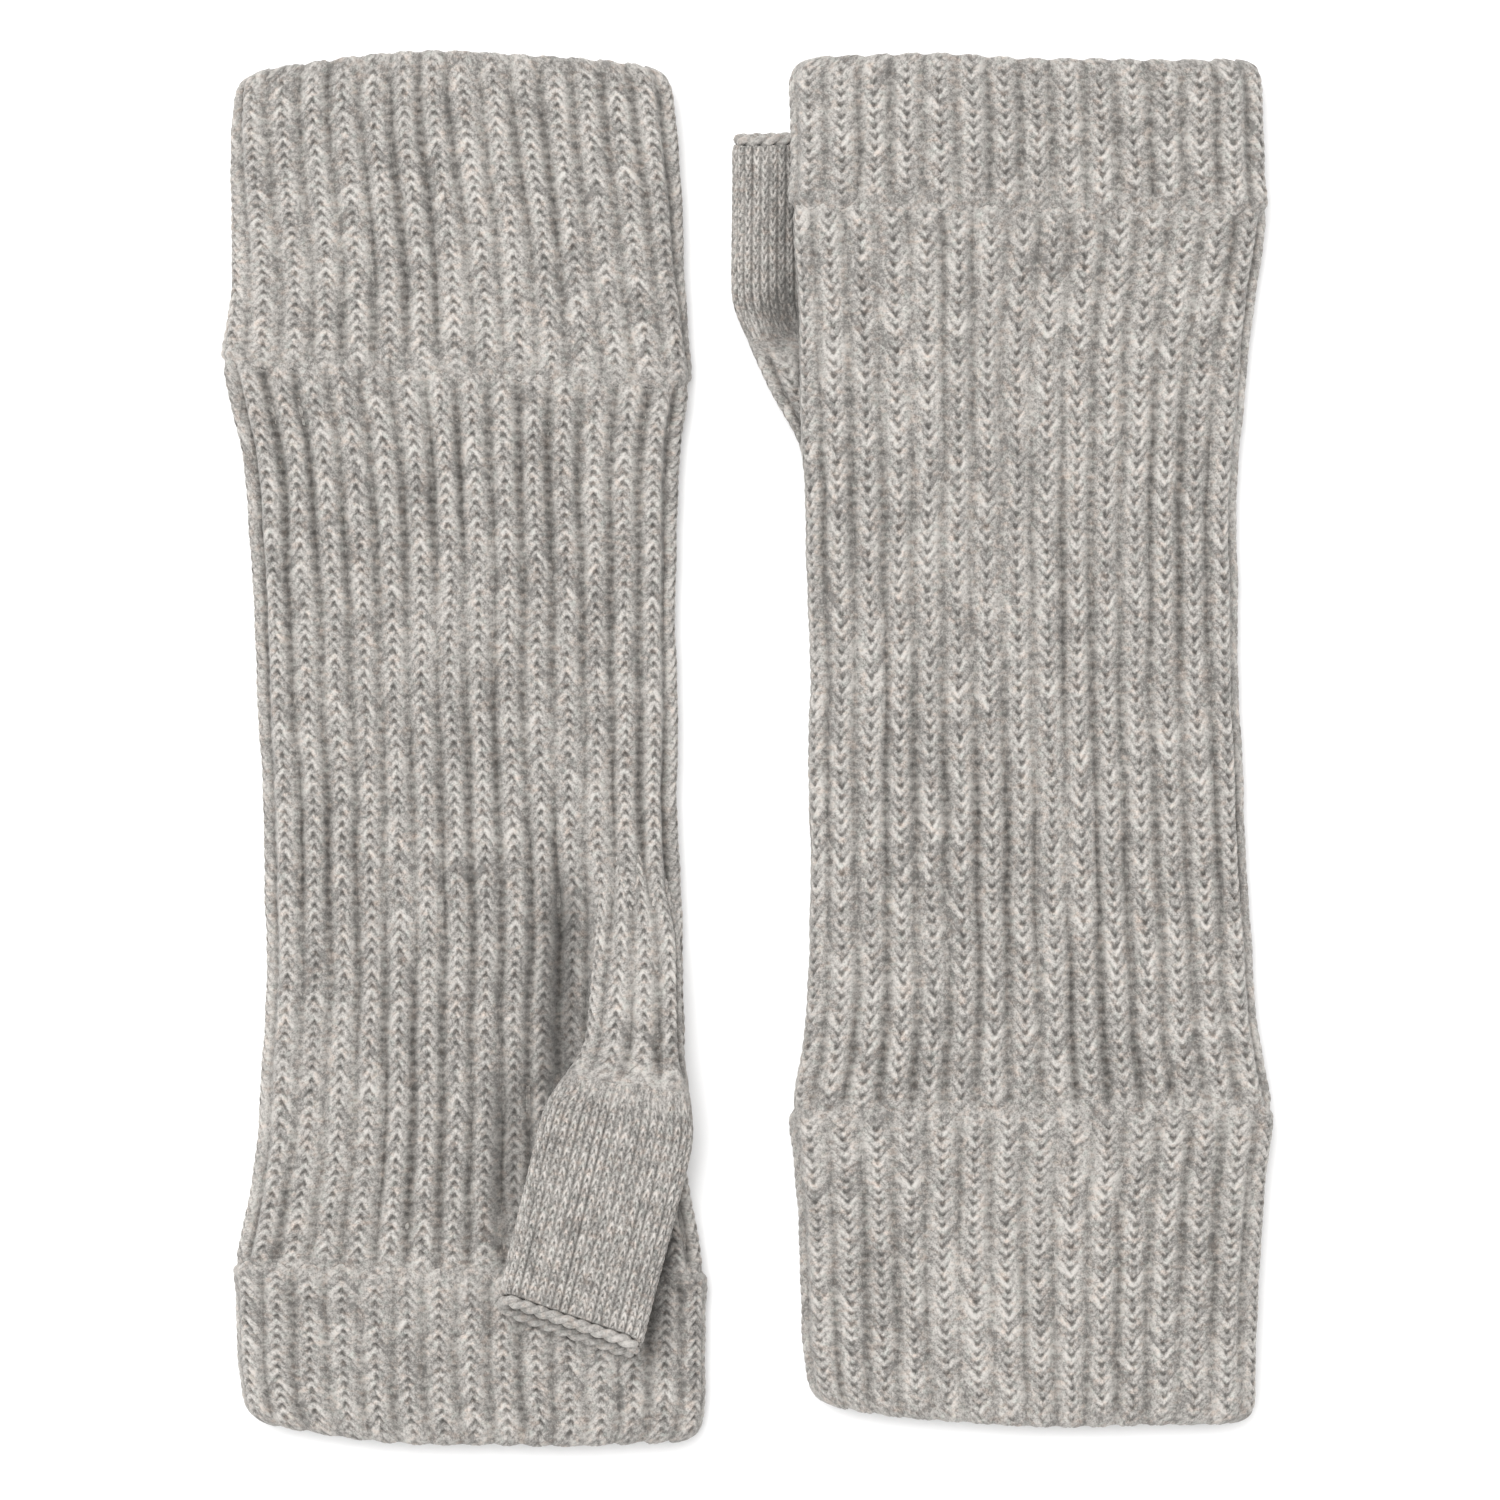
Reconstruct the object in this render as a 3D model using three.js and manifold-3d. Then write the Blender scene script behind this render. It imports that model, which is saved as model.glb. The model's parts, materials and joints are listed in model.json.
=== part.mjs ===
// A pair of long fingerless gloves (wrist warmers), knitted in one-by-one rib with plain-knit thumbs.
// They lie flat, side by side: the left one palm up with its thumb folded over the palm,
// the right one back up with its thumb folded under the palm.
// Millimetres, +Z up, +Y along the gloves. Each glove is a flattened tube, open at the arm and at the fingers.

import * as THREE from 'three';
import { mergeVertices } from 'three/addons/utils/BufferGeometryUtils.js';
import Module from 'manifold-3d';

const wasm = await Module();
wasm.setup();

// ---- Driving dimensions ----

const CLEARANCE = 0.3;        // between pieces that touch
const BODY_HEIGHT = 9.2;      // outside height of the single-layer tube as it lies
const BODY_WALL = 1.6;
const HEM_HEIGHT = 10.6;      // outside height of the doubled cuff and the doubled hem
const HEM_WALL = 1.3;         // one of the two layers of a doubled cuff or hem
const LINK_WIDTH = 3.2;       // the linking row that sews a turned-in layer down
const LINING_SETBACK = 1.2;   // from the rim's fold back to the turned-in layer

const THUMB_HALF_WIDTH = 14.5;
const THUMB_HEIGHT = 6.9;
const THUMB_WALL = 1.1;
const THUMB_BASE_RADIUS = 15; // the tube's round base, centred on the point that it swings about
const PICK_UP_WIDTH = 1.2;    // the round of stitches between gusset and thumb
const CAST_OFF_WIDTH = 1.8;   // the chain edge round the thumb's open end

const GUSSET_START_HEIGHT = 3.4;
const THUMB_HOLE = { halfWidth: 5, halfLength: 9, cornerRadius: 3 };
const PLUG_OVERSHOOT = 1;     // how far the hole's plug runs past the walls that it goes through

const RIM_ROUNDING = 4;       // how far the rim's corners pull in, in plan
const RIM_STEP = 1.2;         // the first facets on the rounding
const RIM_BAND = 12;          // from the rim to where the even facets start
const RIM_REACH = 45;         // the rim's curve fades out over this length

const ARC_STEPS = 5;          // facets round each edge of a flattened tube
const FLAT_STEPS = 6;         // facets across its flat faces

// The two gloves, each drawn with its fingers towards +Y and its thumb towards -X.
// Lengths s run from the arm's rim (0) to the fingers' rim (length).
// outline: [s, thumb-side edge, little-finger-side edge].
// armRim and fingerRim: how far the rim falls back at its thumb side and at its little-finger side.
// gusset: [s, centre, half width] of the thumb's gusset. pivot: [x, s] of the thumb's base.
const GLOVES = [
  {
    side: 'left',
    turn: Math.PI,
    place: [-54, 133],
    length: 265.5,
    thumbAbove: true,
    cuffEnd: 61,
    wrist: 135,
    hemStart: 234,
    outline: [
      [0, -39.8, 45.4], [30, -41.4, 44.9], [50, -42, 45.3], [61, -42.5, 46.6], [80, -40.4, 42.3], [125, -40, 39.7],
      [170, -41.1, 38.4], [212, -42.1, 40.7], [234, -45.6, 44.1], [265.5, -45.4, 43.4],
    ],
    armRim: [3.2, 5],
    fingerRim: [1, 5],
    gusset: [[160, -33.2, 7.8], [178, -32.5, 8.6], [193, -31.9, 9.4]],
    pivot: [-28.7, 206],
    slant: THREE.MathUtils.degToRad(14),
    thumbReach: 34.3,
    thumbHole: [-32.4, 177],
  },
  {
    side: 'right',
    turn: 0,
    place: [53, -128.6],
    length: 260.4,
    thumbAbove: false,
    cuffEnd: 60,
    wrist: 135,
    hemStart: 232,
    outline: [
      [0, -42.9, 43.6], [35, -43.8, 44.5], [60, -45.1, 46.6], [80, -42.3, 43.4], [125, -41.9, 40.8],
      [170, -42.5, 39.9], [205, -44.2, 42.3], [232, -45.3, 45.6], [260.4, -45.8, 44.6],
    ],
    armRim: [4.5, 0.8],
    fingerRim: [0.8, 0.6],
    gusset: [[165, -34, 7.8], [187, -34.1, 8.4], [196, -37.6, 9.1], [206, -43, 9.4]],
    pivot: [-42, 217],
    slant: 0,
    thumbReach: 27.4,
    thumbHole: [-34.4, 178],
  },
];

// The right hand lies on its own thumb: it is lifted there and slopes down to the surface.
const LIFT = { height: THUMB_HEIGHT + CLEARANCE, fullUntilX: -20, zeroFromX: 6, zeroUntilS: 146, fullFromS: 184 };

// ---- Materials ----

const RIBBED_KNIT = { color: 0xada9a4, roughness: 0.95, metalness: 0 };
const PLAIN_KNIT = { color: 0xaaa69f, roughness: 0.95, metalness: 0 };
const LINKING_YARN = { color: 0xb5b0a9, roughness: 0.9, metalness: 0 };

// ---- Shapes ----

// Smooth curve through [s, value] points, by cubic Hermite pieces with slopes from their neighbours.
function through(points, s) {
  const last = points.length - 1;
  const i = Math.min(Math.max(points.findIndex((p) => p[0] > s) - 1, s >= points[last][0] ? last - 1 : 0), last - 1);
  const slope = (k) => {
    const a = points[Math.max(k - 1, 0)];
    const b = points[Math.min(k + 1, last)];
    return (b[1] - a[1]) / (b[0] - a[0]);
  };
  const [s0, v0] = points[i];
  const [s1, v1] = points[i + 1];
  const h = s1 - s0;
  const t = THREE.MathUtils.clamp((s - s0) / h, 0, 1);
  return (2 * t ** 3 - 3 * t ** 2 + 1) * v0 + (t ** 3 - 2 * t ** 2 + t) * h * slope(i)
    + (3 * t ** 2 - 2 * t ** 3) * v1 + (t ** 3 - t ** 2) * h * slope(i + 1);
}

// Points round a flattened oval, anticlockwise from the middle of its right end: flat faces and round ends.
function flatOval({ left, right, low, high }, inset) {
  const radius = (high - low) / 2 - inset;
  const middle = (high + low) / 2;
  const ends = [right - inset - radius, left + inset + radius];
  const points = [];
  const arc = (x, from) => {
    for (let i = 0; i <= ARC_STEPS; i += 1) {
      const a = from + (Math.PI * i) / ARC_STEPS;
      points.push([x + radius * Math.cos(a), middle + radius * Math.sin(a)]);
    }
  };
  const flat = (from, to, z) => {
    for (let i = 1; i < FLAT_STEPS; i += 1) points.push([THREE.MathUtils.lerp(from, to, i / FLAT_STEPS), z]);
  };
  arc(ends[0], -Math.PI / 2);
  flat(ends[0], ends[1], middle + radius);
  arc(ends[1], Math.PI / 2);
  flat(ends[1], ends[0], middle - radius);
  return points;
}

// A flattened tube, open at both ends: a wall between an outer and an inner oval at each station.
// section(t) gives the outer oval there, and place(x, t, z) the point in the glove's own frame.
function sleeve(stations, wall, section, place) {
  const positions = [];
  const loops = stations.map((t) => [0, wall].map((inset) => {
    const start = positions.length / 3;
    const oval = flatOval(section(t), inset);
    for (const [x, z] of oval) positions.push(...place(x, t, z));
    return { start, count: oval.length };
  }));
  const index = [];
  const strip = (a, b) => {
    for (let i = 0; i < a.count; i += 1) {
      const j = (i + 1) % a.count;
      index.push(a.start + i, b.start + i, b.start + j, a.start + i, b.start + j, a.start + j);
    }
  };
  const last = loops.length - 1;
  for (let k = 0; k < last; k += 1) {
    strip(loops[k][0], loops[k + 1][0]);
    strip(loops[k + 1][1], loops[k][1]);
  }
  strip(loops[0][1], loops[0][0]);
  strip(loops[last][0], loops[last][1]);
  const geometry = new THREE.BufferGeometry();
  geometry.setAttribute('position', new THREE.Float32BufferAttribute(positions, 3));
  geometry.setIndex(index);
  geometry.computeVertexNormals();
  return geometry;
}

function steps(from, to, count) {
  return Array.from({ length: count + 1 }, (_, i) => THREE.MathUtils.lerp(from, to, i / count));
}

function toManifold(geometry) {
  const bare = geometry.clone();
  bare.deleteAttribute('normal');
  bare.deleteAttribute('uv');
  const merged = mergeVertices(bare);
  return new wasm.Manifold(new wasm.Mesh({
    numProp: 3,
    vertProperties: new Float32Array(merged.attributes.position.array),
    triVerts: new Uint32Array(merged.index.array),
  }));
}

function cut(geometry, tool) {
  const mesh = toManifold(geometry).subtract(toManifold(tool)).getMesh();
  const result = new THREE.BufferGeometry();
  result.setAttribute('position', new THREE.Float32BufferAttribute(mesh.vertProperties, 3));
  result.setIndex(Array.from(mesh.triVerts));
  result.computeVertexNormals();
  return result;
}

// A rounded rectangular plug through the walls between hand and gusset.
function thumbHolePlug([x, s], low, high) {
  const { halfWidth: w, halfLength: l, cornerRadius: r } = THUMB_HOLE;
  const shape = new THREE.Shape();
  shape.absarc(w - r, l - r, r, 0, Math.PI / 2);
  shape.absarc(r - w, l - r, r, Math.PI / 2, Math.PI);
  shape.absarc(r - w, r - l, r, Math.PI, 1.5 * Math.PI);
  shape.absarc(w - r, r - l, r, 1.5 * Math.PI, 2 * Math.PI);
  const plug = new THREE.ExtrudeGeometry(shape, { depth: high - low, bevelEnabled: false, curveSegments: 3 });
  return plug.translate(x, s, low);
}

// ---- One glove ----

function buildGlove(glove) {
  const group = new THREE.Group();
  group.rotation.z = glove.turn;
  group.position.set(...glove.place, 0);

  const add = (name, geometry, look, parent = group) => {
    const mesh = new THREE.Mesh(geometry, new THREE.MeshStandardMaterial(look));
    mesh.name = `${glove.side}_${name}`;
    parent.add(mesh);
  };

  // The hand's rise over its own thumb, where the thumb is underneath.
  const lift = (x, s) => {
    if (glove.thumbAbove) return 0;
    const across = 1 - THREE.MathUtils.smoothstep(x, LIFT.fullUntilX, LIFT.zeroFromX);
    return LIFT.height * across * THREE.MathUtils.smoothstep(s, LIFT.zeroUntilS, LIFT.fullFromS);
  };

  const edge = (column) => glove.outline.map((row) => [row[0], row[column]]);

  // The two rims are curved in plan, and the curve fades away from the rim.
  const rimCurve = (x, s) => {
    const share = (x / (x < 0 ? through(edge(1), s) : through(edge(2), s))) ** 2;
    const fall = (rim) => rim[x < 0 ? 0 : 1] * share;
    const nearArm = Math.max(0, 1 - s / RIM_REACH);
    const nearFingers = Math.max(0, 1 - (glove.length - s) / RIM_REACH);
    return nearArm * fall(glove.armRim) - nearFingers * fall(glove.fingerRim);
  };
  const rimPull = (s) => {
    const fromRim = Math.min(s, glove.length - s);
    const t = THREE.MathUtils.clamp(1 - fromRim / RIM_ROUNDING, 0, 1);
    return RIM_ROUNDING * (1 - Math.sqrt(1 - t * t));
  };

  // The glove's outside at s, of the given height, or a layer inside it.
  const outside = (height, inset = 0) => (s) => ({
    left: through(edge(1), s) + rimPull(s) + inset,
    right: through(edge(2), s) - rimPull(s) - inset,
    low: inset,
    high: height - inset,
  });
  const laid = (x, s, z) => [x, s + rimCurve(x, s), z + lift(x, s)];

  const layerInset = HEM_WALL + CLEARANCE;
  const { cuffEnd, wrist, hemStart, length } = glove;

  // A doubled cuff or hem: the outer layer, the layer turned in at the rim, and the row that sews it down.
  const doubled = (name, rim, ridge) => {
    const inward = Math.sign(ridge - rim);
    const rimSteps = [0, RIM_STEP, RIM_ROUNDING].map((d) => rim + inward * d);
    const ordered = (list) => (inward > 0 ? list : [...list].reverse());
    const liningFrom = rim + inward * LINING_SETBACK;
    const liningTo = ridge - inward * (LINK_WIDTH + 2 * CLEARANCE);
    const linkFrom = liningTo + inward * CLEARANCE;
    const shared = steps(rim + inward * RIM_BAND, liningTo, 3);
    const outer = [...rimSteps, ...shared, ridge];
    const lining = [liningFrom, rim + inward * RIM_ROUNDING, ...shared];
    const link = steps(linkFrom, linkFrom + inward * LINK_WIDTH, 1);
    add(name, sleeve(ordered(outer), HEM_WALL, outside(HEM_HEIGHT), laid), RIBBED_KNIT);
    add(`${name}_lining`, sleeve(ordered(lining), HEM_WALL, outside(HEM_HEIGHT, layerInset), laid), RIBBED_KNIT);
    add(`${name}_linking`, sleeve(ordered(link), HEM_WALL, outside(HEM_HEIGHT, layerInset), laid), LINKING_YARN);
  };
  doubled('arm_cuff', 0, cuffEnd);
  doubled('finger_hem', length, hemStart);

  // The single-layer tube, in two lengths that meet at the wrist.
  const forearm = steps(cuffEnd + CLEARANCE, wrist - CLEARANCE / 2, 5);
  add('forearm_tube', sleeve(forearm, BODY_WALL, outside(BODY_HEIGHT), laid), RIBBED_KNIT);
  const hand = steps(wrist + CLEARANCE / 2, hemStart - CLEARANCE, 9);
  const handTube = sleeve(hand, BODY_WALL, outside(BODY_HEIGHT), laid);

  // The gusset: a flattened tube that grows out of the hand and ends on the thumb's round base.
  const [pivotX, pivotS] = glove.pivot;
  const thumbLow = glove.thumbAbove ? HEM_HEIGHT + CLEARANCE : 0;
  const gussetEndRadius = THUMB_BASE_RADIUS + PICK_UP_WIDTH + 2 * CLEARANCE;
  const gussetStart = glove.gusset[0][0];
  const gussetEnd = glove.gusset.at(-1)[0];
  const onBase = (x, radius) => pivotS - Math.sqrt(radius ** 2 - (x - pivotX) ** 2);
  const gussetSection = (s) => {
    const centre = through(glove.gusset.map((g) => [g[0], g[1]]), s);
    const half = through(glove.gusset.map((g) => [g[0], g[2]]), s);
    const grown = THREE.MathUtils.smoothstep(s, gussetStart, gussetEnd);
    const low = glove.thumbAbove ? THREE.MathUtils.lerp(BODY_HEIGHT + CLEARANCE, thumbLow, grown) : 0;
    return {
      left: centre - half,
      right: centre + half,
      low,
      high: low + THREE.MathUtils.lerp(GUSSET_START_HEIGHT, THUMB_HEIGHT, grown),
    };
  };
  const gussetPlace = (x, s, z) => {
    const share = (s - gussetStart) / (gussetEnd - gussetStart);
    return [x, s + (onBase(x, gussetEndRadius) - gussetEnd) * share ** 2, z];
  };
  const gusset = sleeve(steps(gussetStart, gussetEnd, 5), THUMB_WALL, gussetSection, gussetPlace);

  // The thumb goes from the hand into the gusset through one hole, cut in both walls.
  // It stops inside the gusset's hollow and inside the hand's, so that it leaves the far walls whole.
  const [holeX, holeS] = glove.thumbHole;
  const nearHand = glove.thumbAbove ? BODY_HEIGHT - BODY_WALL : lift(holeX, holeS) + BODY_WALL;
  const nearGusset = glove.thumbAbove
    ? gussetSection(holeS).low + THUMB_WALL
    : gussetSection(holeS).high - THUMB_WALL;
  const plugLow = Math.min(nearHand, nearGusset) - PLUG_OVERSHOOT;
  const plugHigh = Math.max(nearHand, nearGusset) + PLUG_OVERSHOOT;
  const plug = thumbHolePlug(glove.thumbHole, plugLow, plugHigh);
  add('hand_tube', cut(handTube, plug), RIBBED_KNIT);
  add('thumb_gusset', cut(gusset, plug), RIBBED_KNIT);

  // The round of stitches picked up along the gusset, concentric with the thumb's base.
  const thumbOval = {
    left: -THUMB_HALF_WIDTH,
    right: THUMB_HALF_WIDTH,
    low: thumbLow,
    high: thumbLow + THUMB_HEIGHT,
  };
  const endSection = gussetSection(gussetEnd);
  const pickUpRadius = THUMB_BASE_RADIUS + CLEARANCE;
  const pickUpPlace = (x, t, z) => [x, onBase(x, pickUpRadius + PICK_UP_WIDTH * (1 - t)), z];
  add('thumb_pick_up_round', sleeve([0, 1], THUMB_WALL, () => endSection, pickUpPlace), LINKING_YARN);

  // The thumb tube and its chain edge, in a frame of their own at the point that they swing about.
  const thumb = new THREE.Group();
  thumb.position.set(pivotX, pivotS, 0);
  thumb.rotation.z = -glove.slant;
  group.add(thumb);
  const reach = glove.thumbReach;
  const thumbPlace = (x, t, z) => {
    const base = -Math.sqrt(THUMB_BASE_RADIUS ** 2 - x * x);
    return [x, THREE.MathUtils.lerp(base, reach, t), z];
  };
  add('thumb_tube', sleeve(steps(0, 1, 3), THUMB_WALL, () => thumbOval, thumbPlace), PLAIN_KNIT, thumb);
  const castOffPlace = (x, t, z) => [x, reach + CLEARANCE + CAST_OFF_WIDTH * t, z];
  add('thumb_cast_off', sleeve([0, 1], THUMB_WALL, () => thumbOval, castOffPlace), LINKING_YARN, thumb);

  return group;
}

// ---- The pair, with its origin under the middle of its box ----

const pair = new THREE.Group();
pair.add(...GLOVES.map(buildGlove));
const box = new THREE.Box3().setFromObject(pair, true);
const middle = box.getCenter(new THREE.Vector3());
pair.position.set(-middle.x, -middle.y, -box.min.z);
pair.updateMatrixWorld(true);

export default pair;
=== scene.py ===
# A pair of long fingerless gloves in one-by-one rib, lying flat side by side and seen from above:
# the left one palm up with its thumb folded over the palm, the right one back up with its thumb
# folded under it. Every knitted piece is a closed wall whose outer face has its ribs and stitches
# as real relief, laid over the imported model's own outline.
#
# Lengths are millimetres until a mesh is made, and metres after. Each glove has a frame of its own:
# x across it, with its thumb towards -x, s along it from the arm's rim, and z up.

import json
import math

import bpy
import numpy as np
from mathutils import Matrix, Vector


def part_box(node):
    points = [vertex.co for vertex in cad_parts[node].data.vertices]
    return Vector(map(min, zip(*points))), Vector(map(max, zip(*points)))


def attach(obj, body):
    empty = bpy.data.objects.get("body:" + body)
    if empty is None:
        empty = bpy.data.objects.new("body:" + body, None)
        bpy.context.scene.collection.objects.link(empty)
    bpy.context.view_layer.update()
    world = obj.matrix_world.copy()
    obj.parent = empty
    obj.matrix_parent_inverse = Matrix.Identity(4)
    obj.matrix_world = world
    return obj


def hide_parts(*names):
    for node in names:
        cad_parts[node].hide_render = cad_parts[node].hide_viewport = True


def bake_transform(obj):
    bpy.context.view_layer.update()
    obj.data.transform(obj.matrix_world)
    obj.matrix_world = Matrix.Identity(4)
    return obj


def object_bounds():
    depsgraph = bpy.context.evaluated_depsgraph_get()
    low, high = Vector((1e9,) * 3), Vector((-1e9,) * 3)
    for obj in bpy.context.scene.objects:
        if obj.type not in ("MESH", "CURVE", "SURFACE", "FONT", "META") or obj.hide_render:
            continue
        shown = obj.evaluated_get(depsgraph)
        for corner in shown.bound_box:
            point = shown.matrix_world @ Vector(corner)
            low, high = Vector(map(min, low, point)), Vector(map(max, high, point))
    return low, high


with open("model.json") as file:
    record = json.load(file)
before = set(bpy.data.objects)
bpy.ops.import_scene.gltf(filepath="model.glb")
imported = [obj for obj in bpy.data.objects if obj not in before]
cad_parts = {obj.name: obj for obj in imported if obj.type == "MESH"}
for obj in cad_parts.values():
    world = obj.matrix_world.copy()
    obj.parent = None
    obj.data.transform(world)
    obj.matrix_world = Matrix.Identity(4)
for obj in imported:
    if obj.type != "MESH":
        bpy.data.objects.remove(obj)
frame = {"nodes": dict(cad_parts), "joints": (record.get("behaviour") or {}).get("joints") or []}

CAD_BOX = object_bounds()
MM = 0.001

# ---- Knitting gauge and relief ----

CLEARANCE = 0.3  # left between pieces that touch
RIBS = 31  # round each glove
GUSSET_RIBS = 8
RIB_WIDTH = 5.7
PLAIN_WALE = 1.65
ROW_STEPS = 4  # mesh rows to a row of stitches: a leg rises one of them for each mesh column

# One column of stitches: the height of a row, the mesh columns across, the furrow's depth and the
# stretch across the column where it slopes down, the height of the purl bumps along its bottom, the
# depths between the legs and in the hole between them, how far the crest stands proud of the tube's
# outline, where the legs fade out across the column, where the furrow's painted shade sets in, and
# how dark the shader's painted shade lines are between the legs, in the hole, down the furrow and
# between its purl bumps.
RIB = {
    "row": 2.2,
    "columns": 14,
    "furrow": 1.3,
    "slope": (0.14, 0.46),
    "purl": 0.25,
    "leg": 0.4,
    "hole": 0.35,
    "proud": 0.3,
    "spread": (0.2, 0.31),
    "furrow_shade": (0.26, 0.48),
    "painted_shade_lines": (0.4, 0.88, 0.52, 0.35),
}
CUFF_RIB = {**RIB, "row": 2.08}
PLAIN = {
    "row": 1.8,
    "columns": 8,
    "furrow": 0.4,
    "slope": (0.2, 0.5),
    "purl": 0.0,
    "leg": 0.22,
    "hole": 0.15,
    "proud": 0.2,
    "spread": (0.44, 0.56),
    "furrow_shade": (0.29, 0.5),
    "painted_shade_lines": (0.33, 0.75, 0.5, 0.0),
}

rng = np.random.default_rng(11)

# The depth at which the material's painted shade in a fold is at its darkest, and the height that
# a tube's upper layer is always over, even in its folds.
FOLD = 5.0
UPPER_LAYER = 1.5


# ---- Small helpers ----


def smooth_step(value, low, high):
    t = np.clip((value - low) / (high - low), 0.0, 1.0)
    return t * t * (3 - 2 * t)


def wobble(a, b):
    """The slow unevenness of fabric laid by hand, about -1 to 1, over a plane in millimetres."""
    waves = ((0.11, 0.07, 0.3), (-0.05, 0.16, 1.9), (0.19, -0.04, 4.1), (0.033, 0.052, 2.6))
    return sum(np.sin(p * a + q * b + r) for p, q, r in waves) / len(waves)


def section(name, axis, value):
    """The corners of a CAD node's section by the plane where that axis has that value, in mm."""
    mesh = frame["nodes"][name].data
    places = np.array([v.co[:] for v in mesh.vertices]) / MM
    pairs = np.array([e.vertices[:] for e in mesh.edges])
    a, b = places[pairs[:, 0]], places[pairs[:, 1]]
    crossing = (a[:, axis] - value) * (b[:, axis] - value) < 0
    a, b = a[crossing], b[crossing]
    share = ((value - a[:, axis]) / (b[:, axis] - a[:, axis]))[:, None]
    points = a + share * (b - a)
    return points.min(0), points.max(0)


def box_mm(name):
    low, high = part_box(name)
    return np.array(low) / MM, np.array(high) / MM


def joint_place(name):
    joint = next(j for j in frame["joints"] if j["name"] == name)
    return np.array(joint["pos_m"]) / MM


# ---- Meshes ----


def new_mesh(name, points, faces, maps, values):
    """A smooth triangle mesh from arrays, in mm. maps are its UV layers and values its point
    attributes, by name."""
    mesh = bpy.data.meshes.new(name)
    count = len(faces)
    mesh.vertices.add(len(points))
    mesh.vertices.foreach_set("co", (points * MM).astype(np.float32).ravel())
    mesh.loops.add(3 * count)
    mesh.loops.foreach_set("vertex_index", faces.astype(np.int32).ravel())
    mesh.polygons.add(count)
    mesh.polygons.foreach_set("loop_start", np.arange(0, 3 * count, 3, dtype=np.int32))
    mesh.polygons.foreach_set("use_smooth", np.ones(count, dtype=bool))
    mesh.update(calc_edges=True)
    for key, corners in maps.items():
        layer = mesh.uv_layers.new(name=key)
        layer.data.foreach_set("uv", corners.astype(np.float32).ravel())
    for key, value in values.items():
        kind, field = ("FLOAT_VECTOR", "vector") if value.ndim == 2 else ("FLOAT", "value")
        attribute = mesh.attributes.new(key, kind, "POINT")
        attribute.data.foreach_set(field, value.astype(np.float32).ravel())
    mesh.validate()
    thing = bpy.data.objects.new(name, mesh)
    bpy.context.scene.collection.objects.link(thing)
    return thing


def ring_grid(name, points, values, rising, counts, per_stitch):
    """A closed surface from a grid whose rows and columns both join up with themselves.

    points is (rows, columns, 3). rising tells, for each column, whether its faces are split
    towards the next row and the next column, or the other way. counts is how many rows of
    stitches there are up to each mesh row, and per_stitch the mesh columns to a stitch.
    """
    rows, columns = points.shape[:2]
    r, c = np.meshgrid(np.arange(rows), np.arange(columns), indexing="ij")
    r2, c2 = r + 1, c + 1
    near, far = (r, c), (r2, c2)
    side, over = (r, c2), (r2, c)
    split = np.broadcast_to(rising, r.shape)[..., None]

    def corners(first, second):
        chosen = []
        for a, b in zip(first, second, strict=True):
            chosen.append(np.where(split, np.stack(a, -1), np.stack(b, -1)))
        return np.stack(chosen, 2)

    one = corners((near, side, far), (near, side, over))
    two = corners((near, far, over), (side, far, over))
    grid = np.concatenate([one.reshape(-1, 3, 2), two.reshape(-1, 3, 2)])
    faces = (grid[..., 0] % rows) * columns + grid[..., 1] % columns
    bake = np.stack([grid[..., 1] / columns, grid[..., 0] / rows], -1)
    rows_gone = np.append(counts, counts[-1])
    stitches = np.stack([grid[..., 1] / per_stitch, rows_gone[grid[..., 0]]], -1)
    flat = {k: v.reshape(-1, v.shape[-1]) if v.ndim == 3 else v.ravel() for k, v in values.items()}
    maps = {"OFBake": bake, "stitches": stitches}
    thing = new_mesh(name, points.reshape(-1, 3), faces, maps, flat)
    face_outwards(thing)
    return thing


def face_outwards(thing):
    """Turns a closed mesh's faces over if its volume comes out negative."""
    mesh = thing.data
    co = np.empty(3 * len(mesh.vertices), np.float32)
    mesh.vertices.foreach_get("co", co)
    index = np.empty(3 * len(mesh.polygons), np.int32)
    mesh.polygons.foreach_get("vertices", index)
    corner = co.reshape(-1, 3)[index.reshape(-1, 3)].astype(float)
    volume = np.einsum("ij,ij->", corner[:, 0], np.cross(corner[:, 1], corner[:, 2]))
    if volume < 0:
        mesh.flip_normals()


# ---- Stitches ----


def stitch_relief(knit, across, phase, depth_share):
    """Height of knitted fabric over its crest, in mm, and how far down it is, 0 to 1.

    across runs from -0.5 to 0.5 over a column of stitches, and phase counts rows of stitches.
    Each stitch is two legs that spread outwards as the phase grows.
    """
    slope = knit["columns"] / ROW_STEPS
    leg_fullness = 0.75
    hole_reach = 0.08
    out = np.abs(across)
    leg = np.abs(np.cos(math.pi * (phase - slope * out))) ** leg_fullness
    fade = 1 - 0.85 * smooth_step(out, *knit["spread"])
    sunk = smooth_step(out, *knit["slope"])
    furrow = knit["furrow"] * depth_share * sunk
    purl = knit["purl"] * sunk**3 * (0.5 + 0.5 * np.cos(2 * math.pi * phase))
    hole = knit["hole"] * (1 - leg) * np.exp(-((out / hole_reach) ** 2))
    height = purl - furrow - knit["leg"] * fade * (1 - leg) - hole
    deepest = knit["furrow"] + knit["leg"] + knit["hole"]
    return height, np.clip(-height / deepest, 0, 1)


def yarn_tones(rows, cells):
    """Lighter and darker lengths of heather yarn. A row of stitches is one length of it."""
    noise = rng.normal(size=(rows, cells))
    waves = np.fft.rfft(noise, axis=1)
    rate = np.arange(waves.shape[1]) / cells
    tones = np.zeros((rows, cells))
    for reach, share in ((3.0, 0.7), (14.0, 0.35), (60.0, 0.25)):
        kept = np.fft.irfft(waves * np.exp(-((rate * reach * 2) ** 2)), cells, axis=1)
        tones += share * kept / kept.std()
    neighbours = np.roll(tones, 1, axis=0)
    return 0.8 * tones + 0.2 * neighbours


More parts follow.
